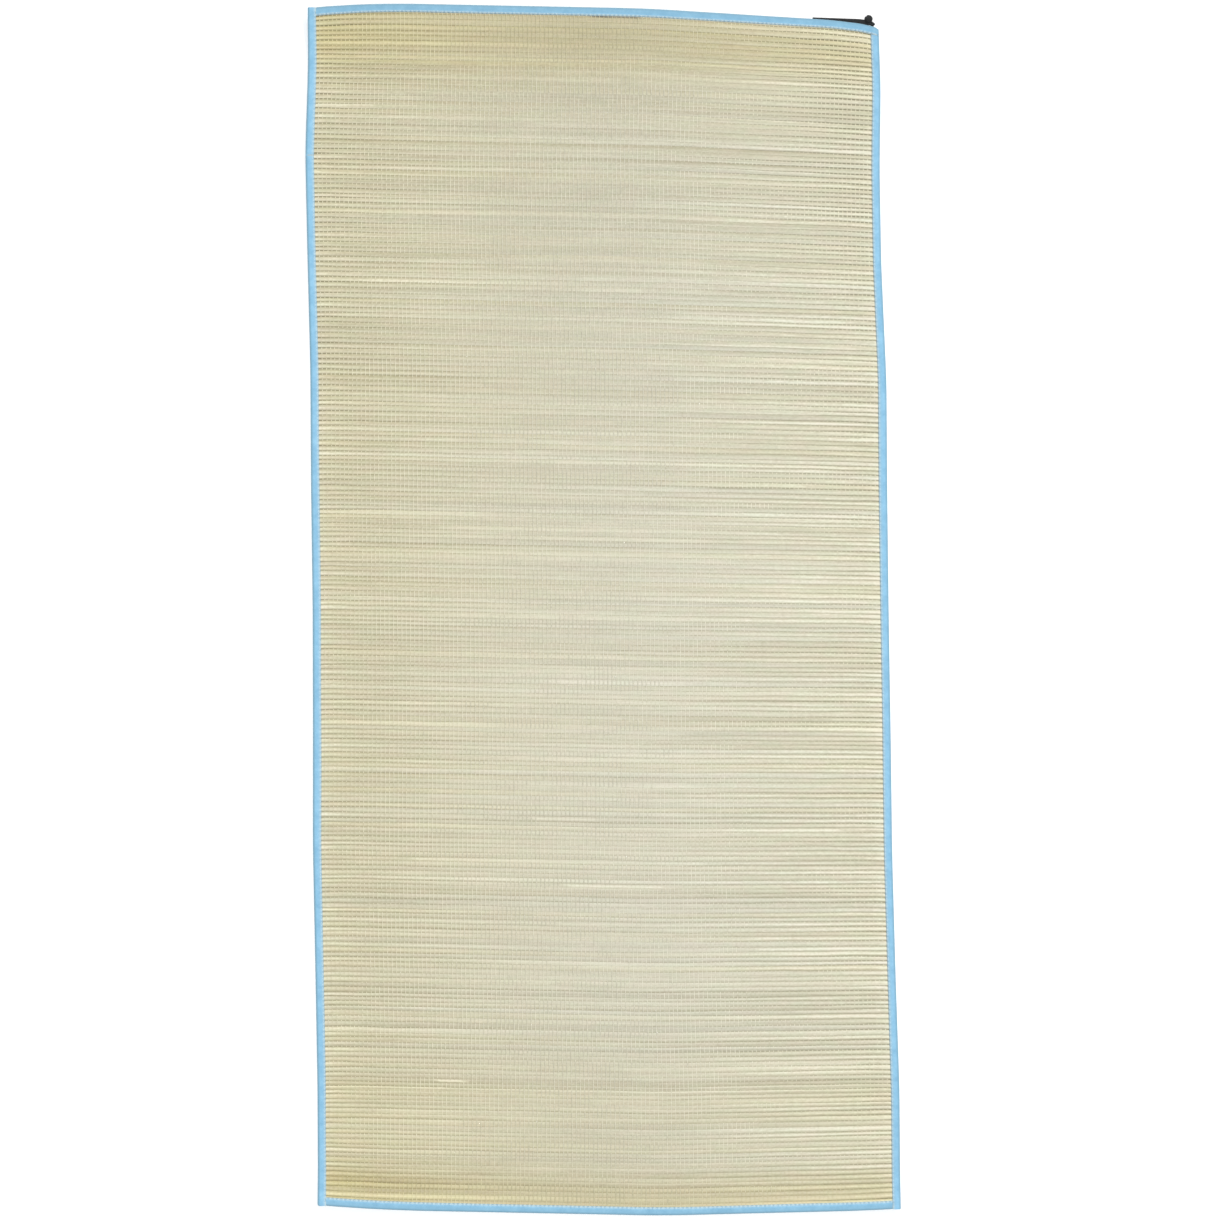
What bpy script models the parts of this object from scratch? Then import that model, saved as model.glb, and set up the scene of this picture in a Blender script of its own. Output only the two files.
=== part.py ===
"""Straw beach mat, unrolled on a floor: a ribbed woven panel, a folded tape sewn over each of
its four edges, and an elastic tie with a knotted end under one corner.

Metres, +Z up. The origin is on the floor under the middle of the mat. +Y runs along the mat to
the end that has the tie, the "back", and -Y to the "front". A place on the mat is given as two
shares: across, from 0 at the left side to 1 at the right, and along, from 0 at the front to 1
at the back.
"""

import math
import random
from collections import namedtuple

import bmesh
import bpy
import numpy as np
from mathutils import Vector

MM = 0.001
GAP = 0.3 * MM  # between two pieces that touch

# Driving sizes of the mat. Its outline is the outer edge of the binding.
WIDTH = 864 * MM
LENGTH = 1801 * MM

# Woven panel: each rib is one bundle of straw, across the whole width.
RIBS = 244
RIB_UNEVEN = 0.15  # how much wider or narrower than the mean a rib may be, as a share
PANEL_THICK = 2.6 * MM
PRESSED_THICK = 1.6 * MM  # where the binding presses the straw flat
GROOVE = 0.65 * MM  # depth of the groove between two ribs, on each face
PRESSED_GROOVE = 0.3 * MM

# Binding: a tape folded in two over the edge.
TAPE_FACE = 12 * MM
TAPE_THICK = 1.0 * MM
FOLD_INSET = 1.7 * MM  # where the tape's face starts to turn over the edge
FOLD_TURN = 0.9 * MM  # how far down the turn reaches
PANEL_INSET = 2.0 * MM
PRESS_REACH = 0.05  # share of the width or length over which the panel swells again
HEM_RISE = 1.65 * MM  # the panel's edge lies on the tape's lower leaf
SIDE_STEP = 45 * MM  # between two cross sections of a side tape
CURL_STEP = 10 * MM  # the same where an end curls

# Ends that curl up, because the mat is kept rolled.
FRONT_CURL = 64 * MM
BACK_CURL = 90 * MM
CURL_BLEND = 30 * MM
LEFT_REACH = 0.15  # share of the width over which a lifted side comes down to the floor
RIGHT_REACH = 0.41

# Elastic tie under the right end of the back edge.
TIE_WIDTH = 10 * MM
TIE_THICK = 1.2 * MM
TIE_LENGTH = 84 * MM
TIE_TURN = math.radians(177)  # from +X, seen from above
TIE_BELOW_KNOT = 5.5 * MM
TAIL_LENGTH = 13 * MM
TAIL_TURN = math.radians(-22)
KNOT_FROM_CORNER = 16 * MM
KNOT_BEYOND = 9.5 * MM
KNOT_SIZE = Vector((12, 11.5, 8.4)) * MM
KNOT_SINK = 0.4 * MM  # a small flat that the knot rests on
KNOT_TURNS = 3  # bulges round the knot, where the elastic crosses itself
KNOT_TWIST = 2.2  # how far they lean over from the knot's foot to its top
KNOT_LUMP = 0.07  # their height, as a share of the knot's radius

# Places where the sides lie: left and right are x in mm, and the lifts are mm off the floor.
Section = namedtuple("Section", "along left right left_lift right_lift")
SECTIONS = [
    Section(0.00, -434.4, 432.8, 0.0, 0.0),
    Section(0.10, -432.3, 434.4, 0.0, 0.0),
    Section(0.20, -432.5, 431.4, 0.6, 0.0),
    Section(0.30, -433.2, 429.3, 0.0, 0.8),
    Section(0.40, -430.1, 430.1, 0.0, 0.0),
    Section(0.50, -427.5, 430.1, 0.4, 0.0),
    Section(0.60, -427.0, 430.9, 0.0, 0.0),
    Section(0.70, -425.1, 432.5, 0.0, 1.2),
    Section(0.80, -426.6, 427.6, 0.8, 0.6),
    Section(0.88, -427.1, 427.6, 2.2, 0.0),
    Section(0.95, -421.1, 431.2, 1.0, 0.0),
    Section(1.00, -419.1, 429.1, 0.0, 0.0),
]

# Lines that run lengthwise: front and back are y in mm, and the lifts are those of the curls.
Column = namedtuple("Column", "across front back front_lift back_lift")
COLUMNS = [
    Column(0.00, -878.8, 899.6, 7.5, 12.0),
    Column(0.05, -883.7, 903.4, 7.0, 13.0),
    Column(0.15, -889.8, 904.4, 5.6, 14.6),
    Column(0.59, -904.4, 891.0, 2.6, 13.2),
    Column(0.95, -901.1, 868.8, 6.0, 4.6),
    Column(1.00, -898.6, 858.0, 6.5, 4.4),
]

STRAW = ("straw", (0.64, 0.56, 0.36), 0.5)
TAPE = ("tape", (0.24, 0.53, 0.80), 0.7)
ELASTIC = ("elastic", (0.02, 0.02, 0.022), 0.6)


def between(rows, place, name):
    """The named value at a place, on straight lines between a table's rows."""
    return float(np.interp(place, [row[0] for row in rows], [getattr(row, name) for row in rows]))


def plan(across, along):
    """x and y of a place on the mat."""
    left = between(SECTIONS, along, "left") * MM
    right = between(SECTIONS, along, "right") * MM
    front = between(COLUMNS, across, "front") * MM
    back = between(COLUMNS, across, "back") * MM
    return left + across * (right - left), front + along * (back - front)


def curl(distance, reach):
    """From 0 where a curl starts to 1 at the end's edge: a soft bend, and straight after it."""
    inward = max(0.0, reach - distance)
    if inward < CURL_BLEND:
        rise = inward * inward / (2 * CURL_BLEND)
    else:
        rise = inward - CURL_BLEND / 2
    return rise / (reach - CURL_BLEND / 2)


def floor_gap(across, along):
    """How far the mat's lowest face is off the floor."""
    ends = between(COLUMNS, across, "front_lift") * curl(along * LENGTH, FRONT_CURL)
    ends += between(COLUMNS, across, "back_lift") * curl((1 - along) * LENGTH, BACK_CURL)
    left = between(SECTIONS, along, "left_lift") * max(0.0, 1 - across / LEFT_REACH)
    right = between(SECTIONS, along, "right_lift") * max(0.0, 1 - (1 - across) / RIGHT_REACH)
    return (ends + left + right) * MM


def pressed(across, along):
    """1 at the edges, where the binding presses the straw, and 0 away from them."""
    loose = min(across, 1 - across) / PRESS_REACH
    lengthwise = min(along, 1 - along) / PRESS_REACH * 2
    return 1 - min(1.0, loose) * min(1.0, lengthwise)


def panel_faces(across, along):
    """z of the panel's underside and top there, over its ribs."""
    press = pressed(across, along)
    low = floor_gap(across, along) + HEM_RISE * press
    return low, low + PANEL_THICK + (PRESSED_THICK - PANEL_THICK) * press


def rib_lines():
    """Shares of the length: the grooves, and the crest in the middle of each rib."""
    draw = random.Random(11)
    widths = [1 + RIB_UNEVEN * draw.uniform(-1, 1) for _ in range(RIBS)]
    inset = PANEL_INSET / LENGTH
    grooves = inset + (1 - 2 * inset) * np.cumsum([0] + widths) / sum(widths)
    lines = []
    for start, end in zip(grooves[:-1], grooves[1:]):
        lines += [float(start), float(start + end) / 2]
    return lines + [float(grooves[-1])]


def material(name, colour, roughness):
    found = bpy.data.materials.get(name)
    if found:
        return found
    made = bpy.data.materials.new(name)
    made.use_nodes = True
    shader = made.node_tree.nodes["Principled BSDF"]
    shader.inputs["Base Color"].default_value = (*colour, 1)
    shader.inputs["Roughness"].default_value = roughness
    shader.inputs["Metallic"].default_value = 0
    return made


def new_object(name, build, collection, look):
    """An object from a bmesh, with its faces pointing out and its own material."""
    bmesh.ops.recalc_face_normals(build, faces=build.faces)
    mesh = bpy.data.meshes.new(name)
    build.to_mesh(mesh)
    build.free()
    mesh.materials.append(material(*look))
    made = bpy.data.objects.new(name, mesh)
    collection.objects.link(made)
    return made


def grid(columns, rows):
    """A flat grid, and its vertices as vertex[row][column]."""
    build = bmesh.new()
    made = bmesh.ops.create_grid(build, x_segments=columns - 1, y_segments=rows - 1, size=1)
    order = sorted(made["verts"], key=lambda v: (round(v.co.y, 6), v.co.x))
    return build, [order[i * columns : (i + 1) * columns] for i in range(rows)]


def woven_panel(collection):
    """One closed sheet, with every straw rib raised on both faces."""
    edge = PANEL_INSET / WIDTH
    columns = [edge] + [row.across for row in COLUMNS[1:-1]] + [1 - edge]
    lines = rib_lines()
    build, top = grid(len(columns), len(lines))
    place = {}
    for number, (along, row) in enumerate(zip(lines, top)):
        for across, vertex in zip(columns, row):
            place[vertex] = (across, along, number % 2 == 0)
            vertex.co = (*plan(across, along), 0)
    top_vertices = list(place)
    under = bmesh.ops.extrude_face_region(build, geom=build.faces[:] + build.edges[:] + top_vertices)
    under = [item for item in under["geom"] if isinstance(item, bmesh.types.BMVert)]
    where = {(round(v.co.x, 7), round(v.co.y, 7)): place[v] for v in top_vertices}
    for vertices, upper in ((top_vertices, True), (under, False)):
        for vertex in vertices:
            across, along, in_groove = where[(round(vertex.co.x, 7), round(vertex.co.y, 7))]
            low, high = panel_faces(across, along)
            press = pressed(across, along)
            depth = (GROOVE + (PRESSED_GROOVE - GROOVE) * press) * in_groove
            vertex.co.z = high - depth if upper else low + depth
    return new_object("straw_panel", build, collection, STRAW)


def tape_section(insets_to_place):
    """The folded tape's middle line, from the upper leaf's edge round to the lower leaf's.
    insets_to_place gives the two shares of a place that lies that far inside the edge."""
    lift = floor_gap(*insets_to_place(0))
    slope = [floor_gap(*insets_to_place(inset)) - lift for inset in (TAPE_FACE, FOLD_INSET)]
    covered = [insets_to_place(inset) for inset in (PANEL_INSET, TAPE_FACE)]
    height = max(panel_faces(*place)[1] - floor_gap(*place) for place in covered)
    top = height + GAP + TAPE_THICK / 2
    bottom = TAPE_THICK / 2
    inner, turn, edge = TAPE_FACE, FOLD_INSET, TAPE_THICK / 2
    line = [
        (inner, top + slope[0]),
        (turn, top + slope[1]),
        (edge, top - FOLD_TURN),
        (edge, bottom + FOLD_TURN),
        (turn, bottom + slope[1]),
        (inner, bottom + slope[0]),
    ]
    return [(*plan(*insets_to_place(inset)), lift + z) for inset, z in line]


def tape(name, sections, collection):
    """A folded tape through its cross sections, given its thickness by Solidify."""
    build, vertices = grid(len(sections[0]), len(sections))
    for row, section in zip(vertices, sections):
        for vertex, place in zip(row, section):
            vertex.co = place
    made = new_object(name, build, collection, TAPE)
    solid = made.modifiers.new("thickness", "SOLIDIFY")
    solid.thickness = TAPE_THICK
    solid.offset = 0
    solid.use_even_offset = True
    return made


def side_tape(name, side, collection):
    """The tape of a long side, over its whole length. side is 0 at the left, and 1 at the right."""
    stops = []
    for row, following in zip(SECTIONS[:-1], SECTIONS[1:]):
        curled = following is SECTIONS[1] or following is SECTIONS[-1]
        span = following.along - row.along
        steps = math.ceil(span * LENGTH / (CURL_STEP if curled else SIDE_STEP))
        stops += [row.along + span * step / steps for step in range(steps)]
    sections = []
    for along in stops + [1]:
        sections.append(tape_section(lambda inset: (abs(side - inset / WIDTH), along)))
    return tape(name, sections, collection)


def end_tape(name, end, collection):
    """The tape of a short end, between the side tapes. end is 0 at the front, and 1 at the back."""
    clear = (TAPE_FACE + GAP) / WIDTH
    columns = [clear] + [row.across for row in COLUMNS[1:-1]] + [1 - clear]
    sections = []
    for across in columns:
        sections.append(tape_section(lambda inset: (across, abs(end - inset / LENGTH))))
    return tape(name, sections, collection)


def strap(name, start, turn, length, height, collection):
    """A flat strap of that length from its start. height gives its middle's z for each x."""
    ahead = Vector((math.cos(turn), math.sin(turn)))
    aside = ahead.orthogonal() * TIE_WIDTH / 2
    build, vertices = grid(9, 2)
    for side, row in zip((-1, 1), vertices):
        for step, vertex in enumerate(row):
            x, y = start + ahead * length * step / (len(row) - 1)
            vertex.co = (x + side * aside.x, y + side * aside.y, height(x))
    made = new_object(name, build, collection, ELASTIC)
    solid = made.modifiers.new("thickness", "SOLIDIFY")
    solid.thickness = TIE_THICK
    solid.offset = 0
    return made


def knot(name, centre, collection):
    """The knot in the tie: a ball with the bulges of its crossing turns, flat underneath."""
    build = bmesh.new()
    made = bmesh.ops.create_uvsphere(build, u_segments=16, v_segments=8, radius=1)
    for vertex in made["verts"]:
        x, y, z = vertex.co
        bulge = 1 + KNOT_LUMP * math.cos(KNOT_TURNS * math.atan2(y, x) + KNOT_TWIST * z)
        vertex.co = centre + Vector(size * c * bulge / 2 for size, c in zip(KNOT_SIZE, (x, y, z)))
        vertex.co.z = max(vertex.co.z, 0.0)
    bmesh.ops.remove_doubles(build, verts=build.verts, dist=0.02 * MM)
    return new_object(name, build, collection, ELASTIC)


def join_to(target, other):
    """Joins other to target with a Boolean, and leaves other as its unseen operand."""
    union = target.modifiers.new("with_" + other.name, "BOOLEAN")
    union.operation = "UNION"
    union.object = other
    other.hide_render = True
    other.display_type = "WIRE"


def tie(collection, operands):
    """The elastic tie: its hidden end is sewn under the binding, and its free end is knotted."""
    left, right = (between(SECTIONS, 1, side) * MM for side in ("left", "right"))
    knot_x = right - KNOT_FROM_CORNER
    knot_y = plan(1 - KNOT_FROM_CORNER / WIDTH, 1)[1] + KNOT_BEYOND
    centre = Vector((knot_x, knot_y, KNOT_SIZE.z / 2 - KNOT_SINK))

    def below_tape(x):
        across = min(1.0, (x - left) / (right - left))
        return floor_gap(across, 1 - TAPE_FACE / LENGTH) - GAP - TIE_THICK / 2

    start = Vector((knot_x, knot_y - TIE_BELOW_KNOT))
    body = strap("elastic_tie", start, TIE_TURN, TIE_LENGTH, below_tape, collection)
    tail = strap("tail", centre.xy, TAIL_TURN, TAIL_LENGTH, lambda x: centre.z, operands)
    join_to(body, knot("knot", centre, operands))
    join_to(body, tail)
    return body


def main():
    for old in list(bpy.data.objects):
        bpy.data.objects.remove(old)
    collection = bpy.data.collections.new("straw_beach_mat")
    operands = bpy.data.collections.new("operands")
    for made in (collection, operands):
        bpy.context.scene.collection.children.link(made)
    woven_panel(collection)
    side_tape("left_binding", 0, collection)
    side_tape("right_binding", 1, collection)
    end_tape("front_binding", 0, collection)
    end_tape("back_binding", 1, collection)
    tie(collection, operands)


main()
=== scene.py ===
"""Looks of the straw beach mat: ribs of straw bound by warp threads, folded and stitched tapes, and a
knotted elastic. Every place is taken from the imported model, in metres, +Z up."""

import math
from dataclasses import dataclass

import bpy
import numpy as np
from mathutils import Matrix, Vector


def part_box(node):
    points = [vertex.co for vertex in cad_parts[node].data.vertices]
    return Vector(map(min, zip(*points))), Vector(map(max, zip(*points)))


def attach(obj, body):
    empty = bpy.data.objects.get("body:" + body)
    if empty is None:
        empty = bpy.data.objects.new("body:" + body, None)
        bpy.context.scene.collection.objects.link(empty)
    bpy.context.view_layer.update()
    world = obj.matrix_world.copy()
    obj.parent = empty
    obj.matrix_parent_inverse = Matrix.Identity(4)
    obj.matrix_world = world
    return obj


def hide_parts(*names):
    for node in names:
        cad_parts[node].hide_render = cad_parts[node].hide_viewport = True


MM = 0.001

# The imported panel's make, as in the part's source.
PANEL_THICK = 2.6 * MM
PRESSED_THICK = 1.6 * MM  # under the tapes
HEM_RISE = 1.65 * MM  # from the tape's underside to the panel's, where it is pressed
PANEL_INSET = 2.0 * MM  # from the outer edge of the binding to the panel's edge
COLUMN_GAP = 15 * MM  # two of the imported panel's columns are further apart than this
BOW = 0.05  # share of the width over which the ends' corners at a column are rounded off

# Straw ribs. A section is given in half widths and half heights, from the back side to the front one and
# round underneath. Its side points reach into the next ribs: the further, the shallower the groove.
RIB_PIECES = 4
RIB_COLUMNS = 69
CROWDING = 0.27  # how much closer together they are near the two sides
ROUND_SECTION = [(1, 0.0), (0.66, 0.74), (0.0, 1.0), (-0.66, 0.74), (-1, 0.0)]
ROUND_SECTION += [(-0.6, -0.94), (0.6, -0.94)]
FLAT_SECTION = [(1, 0.75), (0.90, 0.97), (0.0, 0.98), (-0.90, 0.97), (-1, 0.75)]
FLAT_SECTION += [(-0.7, -0.95), (0.7, -0.95)]
BACK_SIDE, BACK_STRAW, TOP_STRAW, FRONT_STRAW, FRONT_SIDE = range(5)
# Dust with painted shade on each point of the section: full in the grooves between the ribs, some
# underneath.
GROOVE_DUST_AND_SHADE = [1, 0.08, 0.0, 0.08, 1, 0.4, 0.4]  # on each side of the section
ROUND_OVERLAP = 0.22
FLAT_OVERLAP = 0.50
OVERLAP_RANGE = (0.08, 1.3)
GROOVE_DEPTHS = 0.70  # how much the grooves differ along them, in doublings
GROOVE_BY_RIB = 0.55  # share of it by which whole grooves differ
ROUNDEST = 1.25
SWELL_ALONG, SWELL_BY_RIB, MOST_SWELL = 0.06, 0.03, 1.06  # how much the straws' heights differ
RIB_WANDER = 0.50 * MM
SLANT_REACH = 45 * MM  # over which the ribs straighten out from the slanted corners
DRAG = 1.3 * MM  # the sewing has dragged the ribs' ends towards the front
DRAG_RIGHT = 0.6  # share of it on the right side
DRAG_REACH = 14 * MM
DRAG_ENDS, DRAG_FADE = 0.45, 0.05  # shares of the length: how far from the middle, and its fading

# From the left side to the right: how round the ribs are, how deep the threads lie in the straw, how much
# the straws differ in tone, and the tone and warmth painted on them. That tone and warmth is painted light:
# lighter at the two sides and most on the right, and a painted sheen that leaves the middle less warm.
ACROSS_AT = [0.0, 0.025, 0.10, 0.35, 0.50, 0.62, 0.80, 0.97, 1.0]
ROUND_BY = [1.00, 0.74, 0.50, 0.08, 0.07, 0.15, 0.55, 0.93, 1.0]
SINK_BY = [0.62, 0.52, 0.24, 0.00, -0.03, 0.12, 0.46, 0.60, 0.66]  # mm
SINK_VARIETY = 0.15  # mm
VARY_BY = [1.00, 1.00, 0.85, 0.75, 0.72, 0.78, 0.90, 1.10, 1.10]
TONE_ACROSS = [0.26, 0.13, 0.03, 0.01, 0.01, 0.02, 0.14, 0.25, 0.42]
WARM_ACROSS = [0.36, 0.69, 0.65, 0.38, 0.24, 0.20, 0.25, 0.34, 0.39]
BASE_TONE = 0.47
CREST_HIGHLIGHT = 0.14  # painted highlight: how much lighter the crest of a round rib is
WARMEST = 1.8  # the warmth that the straw material shows in full

# Changes of tone, warmth and roundness by the distance from the back or the front end in mm, each for the
# left, the middle and the right of the mat. The tone and warmth are painted shade: darker and warmer near
# the curled ends, which lose the sheen.
THIRDS = [0.1, 0.5, 0.95]
BACK_AT = [0, 25, 50, 70, 90, 110, 150, 280, 430]
BACK_TONE = [
    [0.02, -0.06, 0.00, -0.04, -0.07, 0.02, 0.03, 0.02, 0],
    [-0.12, -0.20, -0.23, -0.08, -0.05, 0.00, 0.02, 0.02, 0.02],
    [0.04, -0.03, -0.15, -0.04, -0.02, -0.12, -0.05, -0.01, 0],
]
BACK_WARM = [
    [0.60, 0.80, 0.80, 0.60, 0.28, 0.08, 0.02, 0, 0],
    [0.80, 1.00, 1.00, 0.72, 0.42, 0.12, 0.03, 0, 0],
    [0.25, 0.55, 0.72, 0.48, 0.20, 0.08, 0.01, 0, 0],
]
ROUNDER_AT = [0, 150, 500, 900, 1550, 1650, 1800]
ROUNDER = [
    [1.60, 1.55, 1.45, 1.05, 1.05, 1.0, 1.0],
    [0.70, 1.00, 1.15, 1.0, 1.1, 0.60, 0.40],
    [1.65, 1.40, 1.12, 1.0, 1.08, 1.05, 1.0],
]
FRONT_AT = [0, 12, 22, 37, 52, 70, 100, 134, 190, 265, 400]
FRONT_TONE = [
    [-0.10, -0.04, -0.15, -0.24, -0.05, 0.00, 0.02, 0.02, 0.03, 0.02, 0],
    [-0.18, -0.16, -0.17, -0.11, -0.07, -0.02, 0.00, 0.00, 0.00, 0.03, 0.00],
    [-0.06, -0.06, -0.16, -0.10, -0.04, 0.00, 0.00, -0.05, 0.00, 0, 0],
]
FRONT_WARM = [
    [0.85, 0.90, 1.00, 1.10, 0.44, 0.28, 0.19, 0.19, 0.13, 0, 0],
    [0.90, 0.95, 0.86, 0.62, 0.36, 0.26, 0.22, 0.20, 0.14, 0, 0],
    [0.80, 0.76, 0.72, 0.52, 0.32, 0.17, 0.14, 0.20, 0.14, 0, 0],
]

# How much the tone differs from band to band of ribs, from rib to rib, along a rib, along a straw in long
# and in short stretches, from straw to straw, and where one ends. Dark changes are the weaker ones.
BANDS = 36
BAND_TONE, RIB_TONE, RIB_DRIFT = 0.004, 0.010, 0.015
STRAW_DRIFT, STRAW_FLECKS, STRAW_TONE, END_TONE = 0.25, 0.08, 0.06, 0.11
DARK_SHARE = 0.65
WARM_DRIFT, WARM_BY_RIB = 0.12, 0.06  # how much the warmth differs along a rib and from rib to rib

# Single pale straws that lie over the threads: from where to where across the mat, where along it, in mm,
# and how pale they are.
PALE_STRAWS = [(-64, 84, -415, 0.34), (-100, -8, -309, 0.24), (-256, -215, -700, 0.60)]
PALE_OVER = 0.9 * MM  # how much deeper the threads lie there
HOLE = (-412.7 * MM, 687 * MM)  # a dark gap in the straw beside the left tape, painted as shade on one point
HOLE_LOOK = (-0.6, 0.5, 2.4)  # its tone, warmth, and dust with painted shade, high enough to take the gap's shade colour
LOOSE_SHADOW = (1.2, 2.2)  # painted shadow under the loose stretch of the back tape. Above 1 it takes the gap's shade colour

# Warp threads, in pairs: one runs over the ribs and one under them.
WARPS = 134
THREAD_HALF_WIDTH = 0.80 * MM
THREAD_HALF_HEIGHT = 0.28 * MM
THREAD_WANDER = 0.35 * MM
OVER_RISE, UNDER_RISE = 0.35, 0.45  # of its middle line over the rib's surface, in half heights
SINK_BY_RIB, SINK_BY_PLACE = 0.5, 0.25  # shares of SINK_VARIETY
OVER_PIECES, UNDER_PIECES = 3, 2

# Folded tape.
TAPE_THICK = 0.6 * MM
TAPE_STEP = 4.8 * MM  # between its cross sections
END_STEPS = np.array([0.0, 0.25, 0.7, 1.4, 2.4]) * MM
TAPE_CLEAR = 0.12 * MM  # between the ribs' crests and the tape
LONG_FACE, FRONT_FACE, BACK_FACE = 12.6 * MM, 12.6 * MM, 12.4 * MM  # width of a face
LONG_FRINGE, FRONT_FRINGE, BACK_FRINGE = 2.4 * MM, 2.9 * MM, 3.5 * MM  # width of the pale inner edge
LONG_DARKENING, FRONT_DARKENING, BACK_DARKENING = 0.0, 0.3, 0.35  # how far the whole tape's colour goes towards the deep one, which makes the front and back tapes darker
SOFT_CORNER = 1.2 * MM
FRONT_LEFT_CORNER = 2.4 * MM
BACK_RIGHT_CORNER = 8 * MM
FACE_WANDER = 0.03
DEEP_REACH, WORN_REACH = 3.0 * MM, 4.6 * MM  # from the fold, for its painted shade, and from the inner edge
DEEP_MOST, WORN_MOST = 0.9, 0.45
FOLD_DEPTH = 1.9 * MM  # how far the fold reaches in from the tape's outer edge
FOLD_POINTS = 6
LEAF_POINTS = 5
LAP_TAIL = 0.8 * MM  # how far a tape runs on past the one that it laps
END_SHORT = 0.5 * MM  # how far one that lies under another stops short of the edge
LAP_SHIFT = 1.1  # thicknesses from one tape to the one over it
LAP_OVER, LAP_RAMP = 3 * MM, 1.6 * MM
TAPE_SWELL = 0.35 * MM
PUCKER = 0.14 * MM
EDGE_SINK = 0.22 * MM  # how far the sewing presses the inner edge into the straw
LOOSE_LIFT = 1.0 * MM
LOOSE = (0.0, 82 * MM)  # the stretch of the back tape whose edge stands off the straw
LOOSE_RAMP = 15 * MM
JOINT = 683 * MM  # where the left tape's two ends join
JOINT_STEPS = np.array([-1.7, -0.9, -0.5, -0.1, 0.4, 1.3]) * MM
JOINT_RISE = 0.4 * MM
JOINT_LEVEL, JOINT_FADE = 14 * MM, 10 * MM  # where the upper end is level again, after what length
JOINT_LINE = 0.9 * MM
BEYOND = 0.05  # how far an edge is drawn out past its two ends, to be read there
TAPE_BEAT = 7.3 * MM  # from one rib or thread under the tape to the next, in the tape's own measure

# Stitches.
STITCH_PITCH = 4.2 * MM
STITCH_LENGTH = 3.0 * MM
STITCH_RADIUS = 0.36 * MM
STITCH_INSET = 1.9 * MM  # from the tape's inner edge
STITCH_OVER, STITCH_UNDER = 0.14 * MM, 0.1 * MM  # its middle line's height off the upper and lower faces
STITCH_WANDER = 0.25 * MM
STITCH_SKEW = 0.08
STITCH_SIDES = 5

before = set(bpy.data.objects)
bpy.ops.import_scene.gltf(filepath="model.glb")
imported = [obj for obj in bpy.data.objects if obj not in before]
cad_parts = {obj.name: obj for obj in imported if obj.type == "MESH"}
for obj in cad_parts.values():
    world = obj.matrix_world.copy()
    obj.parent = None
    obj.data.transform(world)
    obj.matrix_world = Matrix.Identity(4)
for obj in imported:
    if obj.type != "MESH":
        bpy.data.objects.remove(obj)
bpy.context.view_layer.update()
rng = np.random.default_rng(7)


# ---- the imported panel's shape


def panel_columns():
    """place[line][column] = x, y, low z and high z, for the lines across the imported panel: groove, crest,
    groove and so on from the front to the back."""
    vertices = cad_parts["straw_panel"].data.vertices
    points = np.unique(np.round([v.co for v in vertices], 6), axis=0)
    starts = np.flatnonzero(np.diff(points[:, 0]) > COLUMN_GAP) + 1
    columns = []
    for column in np.split(points, starts):
        pairs = column[np.argsort(column[:, 1], kind="stable")].reshape(-1, 2, 3)
        low, high = pairs[:, :, 2].min(1), pairs[:, :, 2].max(1)
        columns.append(np.column_stack([pairs[:, 0, 0], pairs[:, 0, 1], low, high]))
    return np.stack(columns, axis=1)


LINES = panel_columns()
ACROSS = LINES[..., 0].mean(0)
ACROSS = (ACROSS - ACROSS[0]) / (ACROSS[-1] - ACROSS[0])
CRESTS = LINES[1::2]
RIBS = len(CRESTS)


def smooth(at, values, where, row_by_row=False):
    """values[..., knot] read from a smooth curve that never passes its knots. where is the same for every
    row, or has one place for each."""
    rise = np.diff(values, axis=-1) / np.diff(at)
    before, after = rise[..., :-1], rise[..., 1:]
    same = before * after > 0
    inner = np.where(same, 2 * before * after / np.where(same, before + after, 1), 0)
    slope = np.concatenate([rise[..., :1], inner, rise[..., -1:]], axis=-1)
    i = np.clip(np.searchsorted(at, where) - 1, 0, len(at) - 2)
    step = at[i + 1] - at[i]
    t = np.clip((where - at[i]) / step, 0, 1)

    def knot(table, number):
        if row_by_row:
            return np.take_along_axis(table, number[:, None], -1)[:, 0]
        return table[..., number]

    a, b = knot(values, i), knot(values, i + 1)
    sa, sb = knot(slope, i) * step, knot(slope, i + 1) * step
    first = a * (1 + 2 * t) * (1 - t) ** 2 + sa * t * (1 - t) ** 2
    return first + b * t * t * (3 - 2 * t) + sb * t * t * (t - 1)


def bowed(values, share):
    """values[..., column] on straight lines between the panel's columns, with the corners rounded off."""
    reach = np.minimum(BOW, np.minimum(share, 1 - share))
    near = share[:, None] + reach[:, None] * np.linspace(-1, 1, 21)
    weights = np.stack([np.interp(near, ACROSS, row).mean(1) for row in np.eye(len(ACROSS))])
    return values @ weights


def line_at(line, share):
    """x, y, low and high along one line, or along many, at shares of the width."""
    x, y = bowed(line[..., 0], share), bowed(line[..., 1], share)
    return x, y, smooth(ACROSS, line[..., 2], share), smooth(ACROSS, line[..., 3], share)


def extended(column):
    """A column of the panel's crests, with a place well past each end."""
    first = column[0] + 8 * (column[0] - column[2])
    last = column[-1] + 8 * (column[-1] - column[-3])
    return np.concatenate([[first], column, [last]])


REACH = [extended(CRESTS[:, i]) for i in range(CRESTS.shape[1])]


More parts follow.
